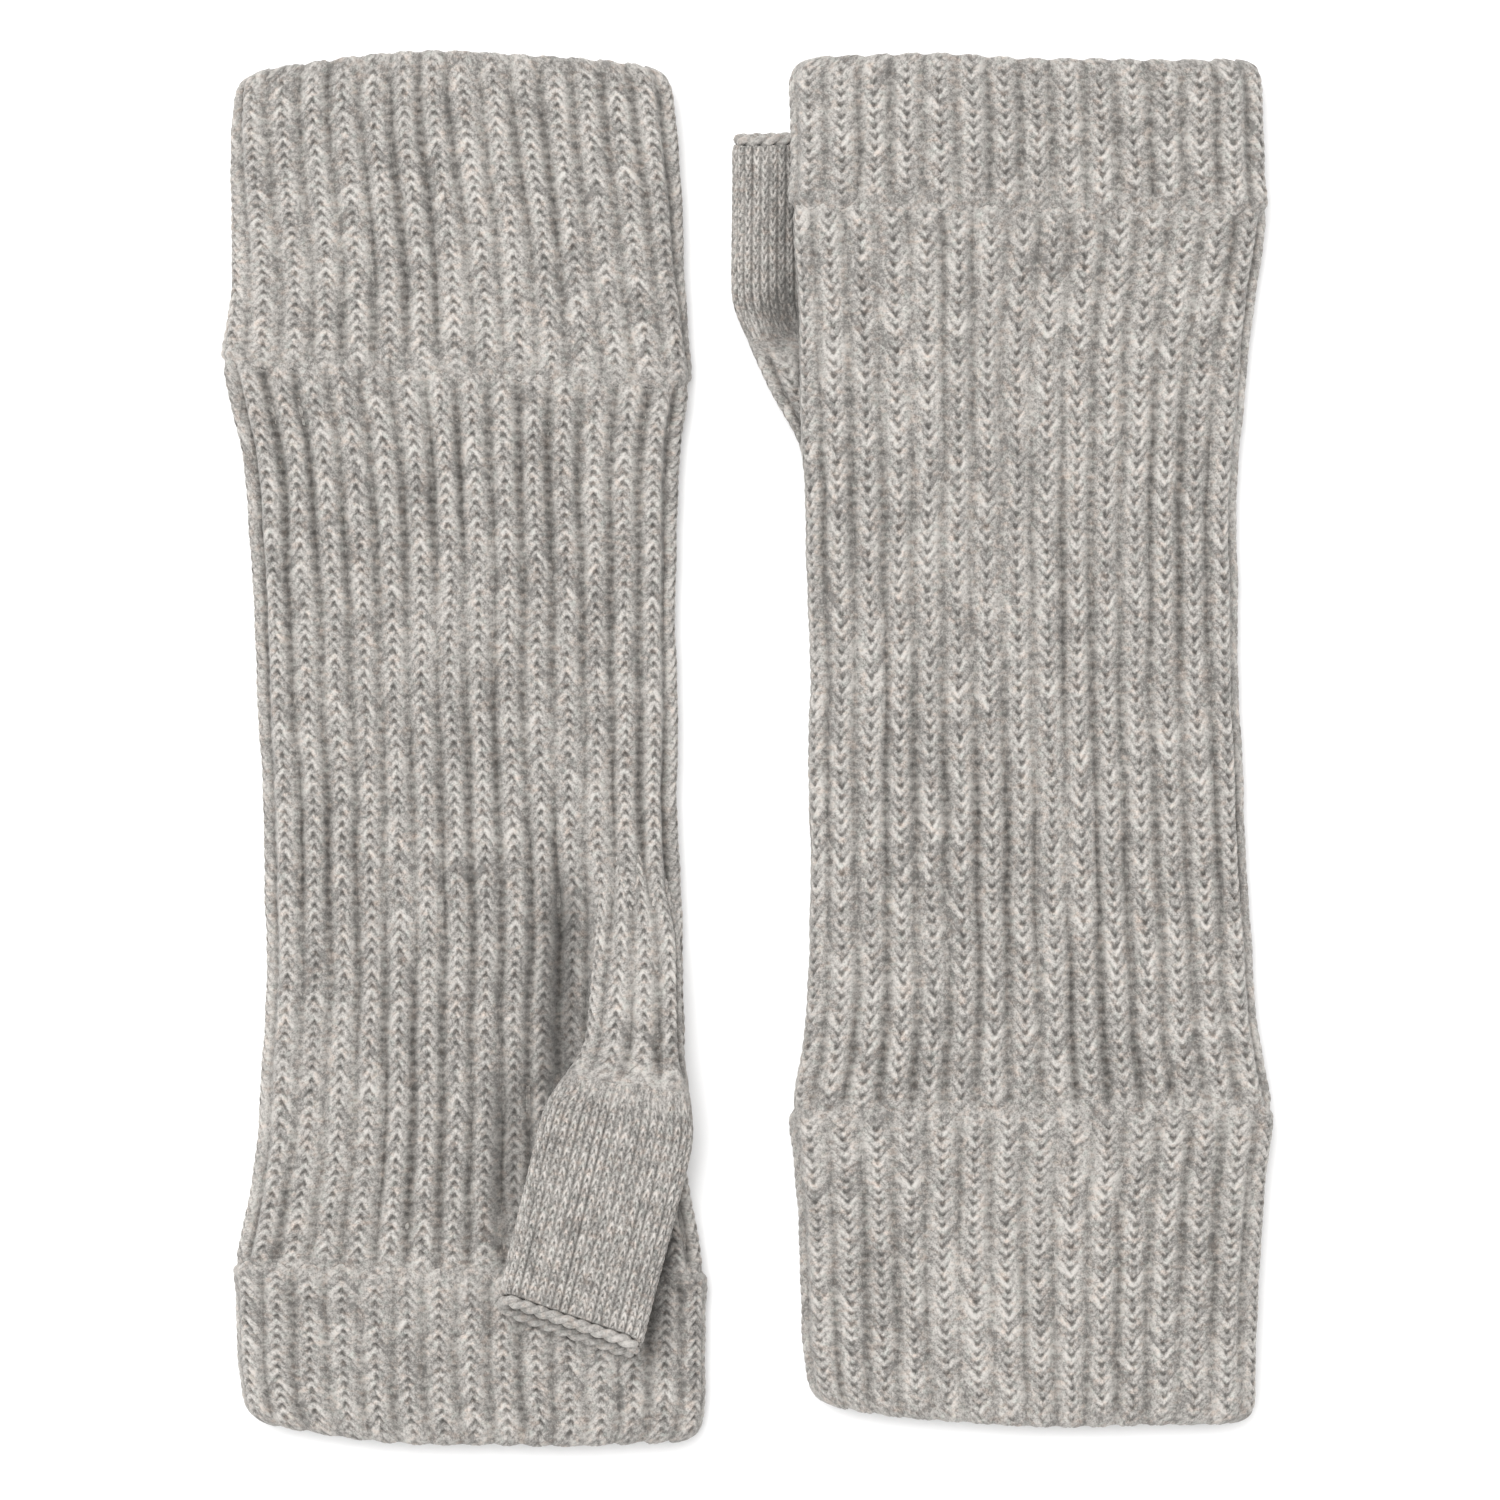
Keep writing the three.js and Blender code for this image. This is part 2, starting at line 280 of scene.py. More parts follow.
def uneven_ribs(rows, ribs):
    """How much deeper or shallower than usual each rib's furrows are, slowly changing along it."""
    noise = rng.normal(size=(rows, ribs))
    waves = np.fft.rfft2(noise)
    reach_along, reach_round = 22, 2
    along = np.abs(np.fft.fftfreq(rows))[:, None] * reach_along
    round_it = np.fft.rfftfreq(ribs)[None, :] * reach_round
    slow = np.fft.irfft2(waves * np.exp(-(along**2) - round_it**2), (rows, ribs))
    usual_change, least, most = 0.22, 0.5, 1.35
    return np.clip(1 + usual_change * slow / slow.std(), least, most)


def knitted_wall(name, knit, ribs, path, place, start=0.0, lean=0.0, depth_share=1.0, calm=()):
    """A closed knitted wall round a tube.

    path is the outer face's profile as rows of (s, inset), already cut into mesh rows, the inner
    face's as a few more, and which way the rows of stitches count. place(share, s, inset) puts a
    point of the tube into the world and returns its place and its fabric coordinates. start turns
    the stitches round the tube, by so many of them, and lean slants them, in mm a mm. The relief
    is lower near each place in calm, given as (s, share, reach).

    For the material, each point gets its yarn's tone, its depth for painted shade, how clear its
    stitches' painted shade is, how deep its furrow's painted shade is drawn and its place on the
    fabric.
    """
    outer, inner, upward = path
    columns = ribs * knit["columns"]
    column = np.arange(columns)
    across = (column % knit["columns"]) / knit["columns"] - 0.5
    tangent = np.gradient(outer, axis=0)
    tangent /= np.linalg.norm(tangent, axis=1)[:, None]
    normal = np.stack([tangent[:, 1], -tangent[:, 0]], 1) * upward
    step = np.arange(len(outer)) * upward
    phase = step[:, None] / ROW_STEPS
    stitch_rows = int(np.ceil(len(outer) / ROW_STEPS)) + 1
    own_change = 0.16
    vary = 1 + own_change * rng.normal(size=(stitch_rows + 1, ribs))
    slack = uneven_ribs(stitch_rows + 1, ribs)
    slope = knit["columns"] / ROW_STEPS
    row_of = np.floor(phase - slope * np.abs(across)[None, :] + 0.5).astype(int) % stitch_rows
    rib_of = np.broadcast_to(column // knit["columns"], row_of.shape)
    height, depth = stitch_relief(knit, across[None, :], phase, depth_share * slack[row_of, rib_of])
    calmed = np.ones(len(outer))
    for s, part, reach in calm:
        calmed -= part * np.exp(-(((outer[:, 0] - s) / reach) ** 2))
    height = knit["proud"] + height * (0.85 + 0.15 * vary[row_of, rib_of]) * calmed[:, None]
    depth = depth * calmed[:, None]
    tones = yarn_tones(stitch_rows, columns)
    tone = tones[row_of, np.broadcast_to(column, row_of.shape)]
    tone = tone + 0.35 * (vary[row_of, rib_of] - 1) / own_change

    s = outer[:, :1] + normal[:, :1] * height
    inset = outer[:, 1:] + normal[:, 1:] * height
    inner_rows = len(inner)
    # The inner face gets a fixed depth, so the material paints shade on it.
    inner_face_shade = 0.6
    s = np.concatenate([s, np.repeat(inner[:, :1], columns, 1)])
    inset = np.concatenate([inset, np.repeat(inner[:, 1:], columns, 1)])
    depth = np.concatenate([depth, np.full((inner_rows, columns), inner_face_shade)])
    clear = np.repeat(np.concatenate([calmed, np.zeros(inner_rows)])[:, None], columns, 1)
    drawn = np.concatenate([depth_share * slack[row_of, rib_of], np.ones((inner_rows, columns))])
    tone = np.concatenate([tone, np.zeros((inner_rows, columns))])
    share = (column[None, :] + 0.5 * knit["columns"]) / columns + start / ribs
    share = share + lean * (s - outer[0, 0]) / (ribs * RIB_WIDTH)
    points, fabric = place(share, s, inset)
    rising = (across >= 0) == (upward > 0)
    counts = np.concatenate([phase[:, 0], phase[0, 0] + inner[:, 0] / knit["row"]])
    values = {"tone": tone, "depth": depth, "clear": clear, "drawn": drawn, "fabric": fabric}
    return ring_grid(name, points, values, rising, counts, knit["columns"])


def oval(left, right, height, share, inset):
    """Places round a flattened tube: share goes round its outside from the middle of its underside,
    by its thumb side and over, and inset is the depth below that outside."""
    radius = height / 2
    flat = right - left - height
    arc = math.pi * radius
    gone = np.mod(share, 1.0) * 2 * (flat + arc)
    under = np.clip(gone, 0, flat / 2)
    first_end = np.clip(gone - flat / 2, 0, arc)
    over = np.clip(gone - flat / 2 - arc, 0, flat)
    second_end = np.clip(gone - 1.5 * flat - arc, 0, arc)
    back = np.clip(gone - 1.5 * flat - 2 * arc, 0, flat / 2)
    turned = (first_end + second_end) / radius
    x = (left + right) / 2 - under + over - back - (radius - inset) * np.sin(turned)
    z = radius - (radius - inset) * np.cos(turned)
    return x, z


def settled(z):
    """Heights under a tube, where its stitches flatten against the surface that it lies on."""
    soft = 0.8
    return np.where(z < soft, soft * np.exp((np.minimum(z, soft) - soft) / soft), z)


def upper_share(z, height):
    """How far a place belongs to the upper layer of a flattened tube, 0 to 1."""
    return smooth_step(z, 0.45 * height, 0.7 * height)


def fabric_place(share, along, length_round):
    """Coordinates that stay with the fabric, and join up with themselves round the tube."""
    radius = length_round / (2 * math.pi)
    turn = 2 * math.pi * share
    return np.stack([radius * np.cos(turn), radius * np.sin(turn), along], -1)


# ---- One glove's frame and outline ----

HALF_WIDTH = 43.0  # about half of a glove's width, where a slant's effect on its edges is counted
CORNER = 6.0  # how far from a rim its corners start to round off
CORNER_PULL = 0.6  # how far in they come at the rim, as a share of that


class Glove:
    """A glove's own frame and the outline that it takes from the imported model."""

    def __init__(self, side):
        self.side = side
        self.toward = 1 if side == "right" else -1
        arm, hem = box_mm(self.node("arm_cuff")), box_mm(self.node("finger_hem"))
        fore, hand = box_mm(self.node("forearm_tube")), box_mm(self.node("hand_tube"))
        self.thumb_above = side == "left"
        self.arm_y = arm[0][1] if self.toward > 0 else arm[1][1]
        self.centre_x = (fore[0][0] + fore[1][0]) / 2
        self.length = self.to_s(hem[1][1] if self.toward > 0 else hem[0][1])
        self.cuff_end = self.to_s(arm[1][1] if self.toward > 0 else arm[0][1])
        self.hem_start = self.to_s(hem[0][1] if self.toward > 0 else hem[1][1])
        self.wrist = self.to_s(joint_place(f"{side}_wrist_fold")[1])
        self.cuff_height = arm[1][2] - arm[0][2]
        self.body_height = fore[1][2] - fore[0][2]
        self.lift_height = hand[1][2] - self.body_height if side == "right" else 0.0
        self.read_outline()
        self.read_rims()

    def node(self, name):
        return f"{self.side}_{name}"

    def to_s(self, y):
        return (y - self.arm_y) * self.toward

    def to_y(self, s):
        return self.arm_y + s * self.toward

    def to_world(self, x, s, z):
        return np.stack([self.centre_x + x * self.toward, self.to_y(s), z], -1)

    def local_x(self, low, high):
        return sorted((end[0] - self.centre_x) * self.toward for end in (low, high))

    def read_outline(self):
        """Both edges at even stations along the glove, from sections of the four outer nodes."""
        off_rim, off_ridge, off_wrist = 6.0, 2, 1
        each = 12
        stretches = (
            ("arm_cuff", off_rim, self.cuff_end - off_ridge),
            ("forearm_tube", self.cuff_end + off_ridge, self.wrist - off_wrist),
            ("hand_tube", self.wrist + off_wrist, self.hem_start - off_ridge),
            ("finger_hem", self.hem_start + off_ridge, self.length - off_rim),
        )
        stations, edges = [], []
        for name, first, last in stretches:
            for s in np.linspace(first, last, each):
                stations.append(s)
                edges.append(self.local_x(*section(self.node(name), 1, self.to_y(s))))
        self.stations = np.array(stations)
        self.edges = np.array(edges)

    def edge(self, column, s):
        """An edge's x there, with the short kinks between the CAD's stations smoothed away."""
        reach, spread = 6, 4
        near = np.linspace(-reach, reach, 7)
        weights = np.exp(-((near / spread) ** 2))
        found = [np.interp(s + d, self.stations, self.edges[:, column]) for d in near]
        return np.tensordot(weights / weights.sum(), np.array(found), 1)

    def read_rims(self):
        """How far each rim falls back at its two corners."""

        def rim(node, x, last):
            low, high = section(node, 0, self.centre_x + x * self.toward)
            ends = (self.to_s(low[1]), self.to_s(high[1]))
            return max(ends) if last else min(ends)

        self.falls = {}
        for name, last in (("arm_cuff", False), ("finger_hem", True)):
            node = self.node(name)
            middle = rim(node, 0.0, last)
            corner = 36.0
            share = (corner / HALF_WIDTH) ** 2
            self.falls[name] = [abs(rim(node, x, last) - middle) / share for x in (-corner, corner)]

    def rim_curve(self, x, s):
        half = np.where(x < 0, -self.edge(0, s), self.edge(1, s))
        share = (x / half) ** 2
        arm = np.where(x < 0, *self.falls["arm_cuff"]) * share
        fingers = np.where(x < 0, *self.falls["finger_hem"]) * share
        reach = 45.0
        near_arm = np.clip(1 - s / reach, 0, 1)
        near_fingers = np.clip(1 - (self.length - s) / reach, 0, 1)
        return near_arm * arm - near_fingers * fingers

    def lift(self, x, s):
        """The right hand's rise over its own thumb."""
        thumb_start = self.wrist + 11
        whole_at, flat_at, slope_length = -20, 6, 38
        across = 1 - smooth_step(x, whole_at, flat_at)
        return self.lift_height * across * smooth_step(s, thumb_start, thumb_start + slope_length)

    def body_height_at(self, s):
        """The single layer stands a little higher where the doubled cuff and hem hold it open."""
        step, flare_length = 0.25, 10.0
        from_end = np.minimum(s - self.cuff_end, self.hem_start - s)
        flare = 1 - smooth_step(from_end, 0.0, flare_length)
        return self.body_height + (self.cuff_height - self.body_height - step) * flare

    def tilt(self, x, s):
        """How far a ridge, which doesn't lie quite straight across, is from its own station."""
        arm, hem = LOOKS[self.side]["tilts"]
        reach = 24
        near_arm = np.exp(-(((s - self.cuff_end) / reach) ** 2))
        near_hem = np.exp(-(((s - self.hem_start) / reach) ** 2))
        return x * (arm * near_arm + hem * near_hem)

    def tube(self, doubled):
        """place() for a wall of this glove's tube, where it is doubled or a single layer."""
        sideways, ripples, upwards = 0.45, 0.2, 0.22  # how unevenly the fabric is laid

        def place(share, s, inset):
            whole = self.cuff_height if doubled else self.body_height_at(s)
            from_rim = np.minimum(s, self.length - s)
            t = np.clip(1 - from_rim / CORNER, 0, 1)
            pull = CORNER_PULL * CORNER * (1 - np.sqrt(1 - t * t))
            left = self.edge(0, s + self.tilt(-HALF_WIDTH, s)) + pull
            right = self.edge(1, s + self.tilt(HALF_WIDTH, s)) - pull
            x, z = oval(left, right, whole, share, inset)
            round_length = 2 * np.mean(right - left - whole) + math.pi * np.mean(whole)
            fabric = fabric_place(share, s, round_length)
            lie = wobble(x + 60 * (z > whole / 2), s)
            x2 = x + sideways * wobble(s, x) + ripples * wobble(3.3 * s, 2.1 * x)
            s2 = s + sideways * wobble(x + 31, s) + self.rim_curve(x, s) + self.tilt(x, s)
            z2 = settled(z) + upwards * lie * smooth_step(z, 0.5, whole) + self.lift(x, s)
            z2 = z2 - self.hollow(x, s) * upper_share(z, whole)
            return self.to_world(x2, s2, z2), fabric

        return place

    def hollow(self, x, s):
        """How far the upper layer sinks in beside the gusset and the thumb that lie on it."""
        slope_length = 14
        sunk = np.zeros(np.shape(x))
        for middle, reach, first, last, deep in LOOKS[self.side]["hollows"]:
            across = np.exp(-(((x - middle) / reach) ** 2))
            begun = smooth_step(s, first, first + slope_length)
            ended = smooth_step(s, last - slope_length, last)
            sunk = sunk + deep * across * begun * (1 - ended)
        return sunk


# ---- Profiles of the walls ----

WALL = 1.3
BODY_WALL = 1.6
THUMB_WALL = 1.1
LINK_WIDTH = 3.2
TURNED_IN = 7.0  # how far a cuff's outer layer goes in past the rim
DOUBLED_DEPTH = 0.85  # ribs are shallower where the fabric is doubled
LINING_DEPTH = 0.6  # and still shallower on the layer turned in
RIM_TRIM = 0.35  # the ribs stand proud of a rim's fold, so the fold starts this much further in


def even_rows(points, knit):
    """A profile cut into whole mesh rows, by its length."""
    points = np.array(points, float)
    gone = np.concatenate([[0], np.cumsum(np.linalg.norm(np.diff(points, axis=0), axis=1))])
    rows = max(1, round(gone[-1] / knit["row"])) * ROW_STEPS
    at = np.linspace(0, gone[-1], rows + 1)
    return np.stack([np.interp(at, gone, points[:, i]) for i in (0, 1)], 1)


def single_profile(first, last, knit, wall):
    """A single layer between two ridges, with its two ends tucked under them."""
    under = 1.1
    tucked = ((-under, 0.6), (1.6, 0.0))
    path = [(first + d, inset) for d, inset in tucked]
    path += [(last - d, inset) for d, inset in reversed(tucked)]
    outer = even_rows(path, knit)
    inner = [(last + under, wall + 0.5)]
    inner += [(s, wall) for s in np.linspace(last - 1.5, first + 1.5, 14)]
    inner.append((first - under, wall + 0.5))
    return outer, np.array(inner), 1


def folded_profile(ridge, rim, knit, wall):
    """The outer layer of a doubled cuff: from its ridge to the rim, over the fold and a way in."""
    inward = math.copysign(1.0, ridge - rim)
    fold = 1.45
    bulge, bulge_end = 0.5, 8.0
    path = [(ridge + inward * 1.3, 1.0), (ridge - inward * 0.5, 0.0)]
    for d in np.linspace(1.0, bulge_end, 9):
        path.append((ridge - inward * d, -bulge * (1 - smooth_step(d, 2.0, bulge_end))))
    path.append((rim + inward * (fold + RIM_TRIM), 0.0))
    for turn in np.linspace(0, math.pi, 9)[1:]:
        ahead = RIM_TRIM + fold * (1 - math.sin(turn))
        path.append((rim + inward * ahead, fold * (1 - math.cos(turn))))
    path.append((rim + inward * TURNED_IN, 2 * fold))
    outer = even_rows(path, knit)
    inner = [
        (rim + inward * TURNED_IN, 2 * fold - wall),
        (rim + inward * (fold + 0.5), 2 * fold - wall),
        (rim + inward * (fold + RIM_TRIM - 0.05), fold),
        (rim + inward * (fold + 0.5), wall),
    ]
    inner += [(s, wall) for s in np.linspace(rim + inward * 6, ridge - inward * 2.5, 6)]
    inner.append((ridge - inward * 0.3, 0.8))
    upward = -1 if inward > 0 else 1
    return outer, np.array(inner), upward


def lining_profile(first, last, knit, wall, depth):
    """The turned-in layer, whose knitted face looks into the tube."""
    outer = even_rows([(first, depth + wall), (last, depth + wall)], knit)
    inner = [(s, depth) for s in np.linspace(last, first, 6)]
    return outer, np.array(inner), -1


# ---- Materials ----

USUAL_GAP_SHADE = 0.27  # how dark the painted shade in the gaps is on average, which is also where they aren't clear
GAP_SHADE = (0.36, 0.352, 0.345)  # the wool's share of light in a gap at its darkest
FOLD_SHADE = 0.5  # how much of it the painted shade of a fold at its deepest takes away


def heather(name, light, dark, knit=None):
    """Soft heather wool: yarn tones, fibre flecks, warm and cool fibres, and painted shade in
    depths and folds.

    With a gauge, painted shade in each stitch's own gaps is drawn too, finer than the mesh can
    hold.
    """
    material = bpy.data.materials.new(name)
    material.use_nodes = True
    nodes, links = material.node_tree.nodes, material.node_tree.links
    shader = nodes["Principled BSDF"]
    shader.inputs["Specular IOR Level"].default_value = 0.12
    shader.inputs["Sheen Weight"].default_value = 0.3
    shader.inputs["Sheen Roughness"].default_value = 0.6
    shader.inputs["Sheen Tint"].default_value = (0.95, 0.93, 0.9, 1)

    def plug(socket, value):
        if isinstance(value, (int, float)):
            socket.default_value = value
        elif isinstance(value, tuple):
            socket.default_value = (*value, 1)
        else:
            links.new(value, socket)

    def attribute(key):
        node = nodes.new("ShaderNodeAttribute")
        node.attribute_name = key
        return node

    def number(operation, a, b=0.0):
        node = nodes.new("ShaderNodeMath")
        node.operation = operation
        plug(node.inputs[0], a)
        plug(node.inputs[1], b)
        return node.outputs[0]

    def plus(a, b):
        return number("ADD", a, b)

    def less(a, b):
        return number("SUBTRACT", a, b)

    def times(a, b):
        return number("MULTIPLY", a, b)

    def about_zero(value, share):
        """A noise's swing about its usual value, by that share."""
        return times(less(value, 0.5), share)

    def rise(value, low, high):
        node = nodes.new("ShaderNodeMapRange")
        node.interpolation_type = "SMOOTHSTEP"
        plug(node.inputs["Value"], value)
        node.inputs["From Min"].default_value = low
        node.inputs["From Max"].default_value = high
        return node.outputs["Result"]

    def noise(scale, detail, stretch=(1, 1, 1)):
        mapping = nodes.new("ShaderNodeMapping")
        mapping.inputs["Scale"].default_value = stretch
        links.new(fabric, mapping.inputs["Vector"])
        node = nodes.new("ShaderNodeTexNoise")
        node.inputs["Scale"].default_value = scale
        node.inputs["Detail"].default_value = detail
        node.inputs["Roughness"].default_value = 0.6
        links.new(mapping.outputs[0], node.inputs["Vector"])
        return node.outputs["Fac"]

    def ramp(value, stops):
        node = nodes.new("ShaderNodeValToRGB")
        links.new(value, node.inputs["Fac"])
        elements = node.color_ramp.elements
        for element, (place, colour) in zip(elements, (stops[0], stops[-1]), strict=True):
            element.position = place
            element.color = (*colour, 1)
        for place, colour in stops[1:-1]:
            elements.new(place).color = (*colour, 1)
        return node.outputs["Color"]

    def mix(kind, share, a, b):
        node = nodes.new("ShaderNodeMix")
        node.data_type = "RGBA"
        node.blend_type = kind
        # The first sockets of these names are for single numbers: the colours' go by place.
        plug(node.inputs[0], share)
        plug(node.inputs[6], a)
        plug(node.inputs[7], b)
        return node.outputs[2]

    def stitch_gap_shade():
        """The painted shade lines between the legs of the stitches, in the hole between each pair
        and down the furrow, and how light each leg's own yarn is."""
        counts = nodes.new("ShaderNodeUVMap")
        counts.uv_map = "stitches"
        parts = nodes.new("ShaderNodeSeparateXYZ")
        links.new(counts.outputs[0], parts.inputs[0])
        u = plus(parts.outputs[0], about_zero(noise(0.55, 2.0), 0.2))
        v = plus(parts.outputs[1], about_zero(noise(0.4, 2.0), 0.7))
        off_middle = less(number("FRACT", u), 0.5)
        round_tip = 0.04
        squared = times(off_middle, off_middle)
        out = number("SQRT", plus(squared, round_tip**2))
        slope = knit["columns"] / ROW_STEPS
        turn = less(v, times(out, slope))
        middle = less(number("FRACT", plus(turn, 0.5)), 0.5)
        off_crest = times(number("ABSOLUTE", middle), 2.0)
        leg_line, hole_line, furrow_line, purl_line = knit["painted_shade_lines"]
        on_leg = less(1.0, rise(out, *knit["spread"]))
        between = times(rise(off_crest, 0.5, 1.0), on_leg)
        in_middle = less(1.0, rise(out, 0.05, 0.16))
        hole = times(rise(off_crest, 0.35, 0.85), in_middle)
        in_row = number("FRACT", plus(v, 0.5))
        off_row = number("ABSOLUTE", less(in_row, 0.5))
        purl_gap = times(rise(off_row, 0.2, 0.45), purl_line)
        furrow = plus(purl_gap, furrow_line)
        furrow = times(rise(out, *knit["furrow_shade"]), furrow)
        furrow = times(furrow, attribute("drawn").outputs["Fac"])
        between = times(between, leg_line)
        painted_gaps = number("MAXIMUM", between, times(hole, hole_line))
        off_usual = less(number("MAXIMUM", painted_gaps, furrow), USUAL_GAP_SHADE)
        clear = attribute("clear").outputs["Fac"]
        painted_gaps = plus(times(off_usual, clear), USUAL_GAP_SHADE)

        which = nodes.new("ShaderNodeCombineXYZ")
        links.new(number("FLOOR", u), which.inputs[0])
        links.new(number("FLOOR", plus(turn, 0.5)), which.inputs[1])
        links.new(number("GREATER_THAN", number("FRACT", u), 0.5), which.inputs[2])
        own = nodes.new("ShaderNodeTexWhiteNoise")
        own.noise_dimensions = "3D"
        links.new(which.outputs[0], own.inputs["Vector"])
        return painted_gaps, less(own.outputs["Value"], 0.5)

    fabric = attribute("fabric").outputs["Vector"]
    tone = attribute("tone").outputs["Fac"]
    depth = attribute("depth").outputs["Fac"]

    fibres = noise(1.35, 3.0)
    fine = noise(3.4, 2.0)
    patches = noise(0.16, 2.0, (1, 1, 1.6))
    level = plus(0.5, times(tone, 0.08))
    for part, share in ((fibres, 1.9), (fine, 1.4), (patches, 0.25)):
        level = plus(level, about_zero(part, share))
    if knit:
        painted_gaps, own_tone = stitch_gap_shade()
        level = plus(level, times(own_tone, 0.42))
    middle = tuple(0.5 * (a + b) for a, b in zip(light, dark, strict=True))
    wool = ramp(level, [(0.08, dark), (0.5, middle), (0.92, light)])

    warm = less(noise(0.5, 3.0, (1, 1, 1.6)), 0.5)
    warm = times(number("MAXIMUM", warm, 0.0), 3.4)
    wool = mix("MULTIPLY", warm, wool, (1.11, 0.975, 0.9))
    cool = less(noise(0.6, 3.0, (1.2, 1.2, 1.7)), 0.51)
    cool = times(number("MAXIMUM", cool, 0.0), 3.0)
    wool = mix("MULTIPLY", cool, wool, (0.93, 1.02, 1.0))
    # Painted shade: the colour is darker where the relief is deeper and on the walls' inner faces.
    halfway, deepest = (0.84, 0.84, 0.835), (0.42, 0.41, 0.4)
    shade = ramp(depth, [(0.0, (1.0, 1.0, 1.0)), (0.45, halfway), (1.0, deepest)])
    wool = mix("MULTIPLY", 1.0, wool, shade)

    # Painted shade in the folds where the upper layer sinks in.
    painted_fold_shade = times(attribute("fold").outputs["Fac"], FOLD_SHADE)
    wool = mix("MULTIPLY", painted_fold_shade, wool, (0.0, 0.0, 0.0))

    raised = plus(fibres, fine)
    if knit:
        # Painted shade in each stitch's gaps, holes and furrows.
        wool = mix("MULTIPLY", painted_gaps, wool, GAP_SHADE)
        raised = less(raised, times(painted_gaps, 1.2))
    links.new(wool, shader.inputs["Base Color"])
    links.new(plus(0.82, times(fibres, 0.16)), shader.inputs["Roughness"])
    bump = nodes.new("ShaderNodeBump")
    bump.inputs["Strength"].default_value = 0.6
    bump.inputs["Distance"].default_value = 0.0003
    links.new(raised, bump.inputs["Height"])
    links.new(bump.outputs["Normal"], shader.inputs["Normal"])
    return material


RIBBED = heather("heather_rib", (0.523, 0.497, 0.467), (0.187, 0.177, 0.167), RIB)
PLAIN_WOOL = heather("heather_plain_knit", (0.53, 0.501, 0.471), (0.183, 0.174, 0.164), PLAIN)
LINKING = heather("heather_linking_yarn", (0.46, 0.437, 0.411), (0.2, 0.19, 0.179))


# ---- Floor ----


def make_floor():
    """A white surface, 0.4 mm under the gloves."""
    mesh = bpy.data.meshes.new("floor")
    half, low = 3.0, -0.0004
    corners = [(-half, -half, low), (half, -half, low), (half, half, low), (-half, half, low)]
    mesh.from_pydata(corners, [], [(0, 1, 2, 3)])
    floor = bpy.data.objects.new("floor", mesh)
    bpy.context.scene.collection.objects.link(floor)
    material = bpy.data.materials.new("white_paper")
    material.use_nodes = True
    shader = material.node_tree.nodes["Principled BSDF"]
    shader.inputs["Base Color"].default_value = (0.93, 0.93, 0.93, 1)
    shader.inputs["Roughness"].default_value = 0.9
    shader.inputs["Specular IOR Level"].default_value = 0.1
    mesh.materials.append(material)
    return floor


FLOOR = make_floor()


# ---- What every piece gets: its material, with the imported parts it stands for hidden ----


def finish_piece(thing, material, slot, *nodes):
    thing.data.materials.append(material)
    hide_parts(*nodes)
    return thing


# ---- Sewn rows and chain edges ----

CORD_SWING = 0.38  # how far each ply's middle is from the cord's, as a share of the cord's radius
CORD_PLY = 0.72  # a ply's own radius, as a share of the same


def ring_route(place, along, inset, count):
    """Places round a tube, at one place along it."""
    share = np.arange(count) / count
    route, _ = place(share, np.full(count, along), np.full(count, inset))
    return route


def twisted_cord(name, route, radius, twists):
    """A plump two-ply cord round a closed route of places: one strand that goes round twice."""
    sides, steps_a_twist = 8, 12
    steps = twists * steps_a_twist
    looped = np.vstack([route, route[:1]])
    gone = np.concatenate([[0], np.cumsum(np.linalg.norm(np.diff(looped, axis=0), axis=1))])
    lap = 2 * np.arange(2 * steps) / (2 * steps)
    at = np.mod(lap, 1.0) * gone[-1]
    centre = np.stack([np.interp(at, gone, looped[:, i]) for i in range(3)], -1)
    tangent = np.roll(centre, -1, 0) - np.roll(centre, 1, 0)
    tangent /= np.linalg.norm(tangent, axis=1)[:, None]
    outward = np.cross(tangent, [0.0, 1.0, 0.0])
    outward /= np.linalg.norm(outward, axis=1)[:, None]
    second = np.cross(outward, tangent)
    twist = 2 * math.pi * (twists + 0.5) * lap
    swing = CORD_SWING * radius
    spine = centre + swing * (np.cos(twist)[:, None] * outward + np.sin(twist)[:, None] * second)
    turn = 2 * math.pi * np.arange(sides) / sides
    ply = CORD_PLY * radius
    across = np.cos(turn)[None, :, None] * outward[:, None, :]
    up = np.sin(turn)[None, :, None] * second[:, None, :]
    points = spine[:, None, :] + ply * (across + up)
    # Painted shade on the side of each ply that faces the other ply.
    facing = np.cos(turn[None, :] - twist[:, None])
    depth = 0.24 * smooth_step(-facing, -0.2, 0.8)
    tone = np.repeat(yarn_tones(1, 2 * steps)[0][:, None], sides, 1)
    values = {"tone": tone, "depth": depth, "fabric": points}
    return ring_grid(name, points, values, np.arange(sides) < sides // 2, lap, 1)


# ---- The tube: cuff, arm, hand and hem ----


def paint_fold_shade(thing, glove, sunk):
    """Marks how deep in a fold each point of the upper layer is, for the material's painted shade.
    sunk gives the fold's depth by the place on the glove."""
    mesh = thing.data
    places = np.empty(3 * len(mesh.vertices), np.float32)
    mesh.vertices.foreach_get("co", places)
    x, y, z = places.reshape(-1, 3).T.astype(float) / MM
    across = (x - glove.centre_x) * glove.toward
    fold = np.clip(sunk(across, glove.to_s(y)) / FOLD, 0, 1)
    fold = np.where(z > UPPER_LAYER, fold, 0)
    attribute = mesh.attributes.new("fold", "FLOAT", "POINT")
    attribute.data.foreach_set("value", fold.astype(np.float32))


